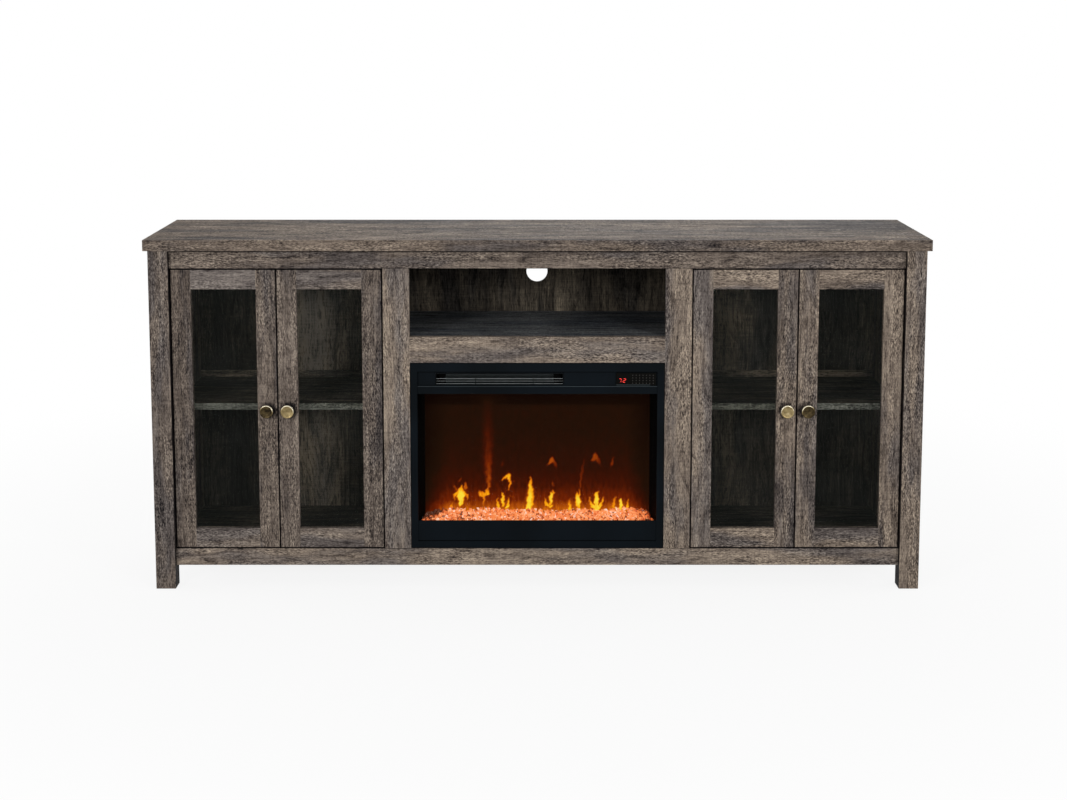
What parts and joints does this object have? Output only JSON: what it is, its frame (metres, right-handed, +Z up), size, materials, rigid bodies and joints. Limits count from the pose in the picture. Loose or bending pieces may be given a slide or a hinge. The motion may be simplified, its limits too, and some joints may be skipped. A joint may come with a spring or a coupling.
{
  "type": "fireplace tv stand",
  "caption": "Low wood-look TV stand on posts, with two pairs of glazed hinged doors over shelves, an open cubby and an electric fire insert with flame screen, ember bed and fan heater.",
  "frame": {"origin": "on the floor, under the centre of the stand's bounding box", "axes": "+X to the right as seen from the front, +Y to the back, +Z up; the doors face -Y"},
  "size_m": [1.778, 0.406, 0.813],
  "materials": {
    "wood": "satin grey-brown oak laminate",
    "inner_wood": "matt dark laminate",
    "door_glass": "clear, slightly smoky",
    "brass": "brushed antique brass",
    "hinge_steel": "nickel-plated steel",
    "black_steel": "satin black powder coat",
    "grille": "dark grey metal",
    "control": "gloss black",
    "fire_glass": "clear",
    "screen": "translucent, lit from behind",
    "crystal": "clear acrylic chips, lit from below",
    "circuit": "green circuit board",
    "bright_metal": "bare",
    "motor_metal": "zinc-plated",
    "gland_plastic": "black"
  },
  "bodies": {
    "cabinet": {"top_panel": "wood", "leg_front_left": "wood", "leg_front_right": "wood", "leg_rear_left": "wood", "leg_rear_right": "wood", "side_panel_left": "wood", "side_panel_right": "wood", "stile_left": "wood", "stile_right": "wood", "apron_rail": "wood", "bottom_rail": "wood", "mantel_rail": "wood", "divider_left": "inner_wood", "divider_right": "inner_wood", "shelf_left": "inner_wood", "shelf_right": "inner_wood", "bottom_panel": "inner_wood", "cubby_shelf": "inner_wood", "back_panel": "inner_wood", "hinge_arm_left_outer_lower": "hinge_steel", "hinge_arm_left_outer_upper": "hinge_steel", "hinge_arm_left_inner_lower": "hinge_steel", "hinge_arm_left_inner_upper": "hinge_steel", "hinge_arm_right_inner_lower": "hinge_steel", "hinge_arm_right_inner_upper": "hinge_steel", "hinge_arm_right_outer_lower": "hinge_steel", "hinge_arm_right_outer_upper": "hinge_steel", "insert_frame": "black_steel", "vent_grille": "grille", "control_panel": "control", "insert_glass": "fire_glass", "insert_housing": "black_steel", "flame_screen": "screen", "ember_bed": "crystal", "led_board": "circuit", "heater_element": "bright_metal", "blower_motor": "motor_metal", "cord_gland": "gland_plastic"},
    "door_left_outer": {"door_left_outer_frame": "wood", "door_left_outer_glass": "door_glass", "door_left_outer_knob": "brass", "door_left_outer_hinge_cup_lower": "hinge_steel", "door_left_outer_hinge_cup_upper": "hinge_steel"},
    "door_left_inner": {"door_left_inner_frame": "wood", "door_left_inner_glass": "door_glass", "door_left_inner_knob": "brass", "door_left_inner_hinge_cup_lower": "hinge_steel", "door_left_inner_hinge_cup_upper": "hinge_steel"},
    "door_right_inner": {"door_right_inner_frame": "wood", "door_right_inner_glass": "door_glass", "door_right_inner_knob": "brass", "door_right_inner_hinge_cup_lower": "hinge_steel", "door_right_inner_hinge_cup_upper": "hinge_steel"},
    "door_right_outer": {"door_right_outer_frame": "wood", "door_right_outer_glass": "door_glass", "door_right_outer_knob": "brass", "door_right_outer_hinge_cup_lower": "hinge_steel", "door_right_outer_hinge_cup_upper": "hinge_steel"},
    "fan": {"blower_wheel": "bright_metal"},
    "flicker": {"flicker_rotor": "bright_metal"}
  },
  "joints": [
    {"name": "left_outer_door_swing", "type": "hinge", "parent": "cabinet", "child": "door_left_outer", "pos_m": [-0.8325, -0.178, 0.4185], "axis": [0, 0, -1], "range_deg": [0, 95]},
    {"name": "left_inner_door_swing", "type": "hinge", "parent": "cabinet", "child": "door_left_inner", "pos_m": [-0.3545, -0.178, 0.4185], "axis": [0, 0, 1], "range_deg": [0, 95]},
    {"name": "right_inner_door_swing", "type": "hinge", "parent": "cabinet", "child": "door_right_inner", "pos_m": [0.3545, -0.178, 0.4185], "axis": [0, 0, -1], "range_deg": [0, 95]},
    {"name": "right_outer_door_swing", "type": "hinge", "parent": "cabinet", "child": "door_right_outer", "pos_m": [0.8325, -0.178, 0.4185], "axis": [0, 0, 1], "range_deg": [0, 95]},
    {"name": "fan_spin", "type": "hinge", "parent": "cabinet", "child": "fan", "pos_m": [-0.0865, -0.0977, 0.4888], "axis": [1, 0, 0], "continuous": true},
    {"name": "flicker_spin", "type": "hinge", "parent": "cabinet", "child": "flicker", "pos_m": [0, -0.0487, 0.1248], "axis": [1, 0, 0], "continuous": true}
  ]
}
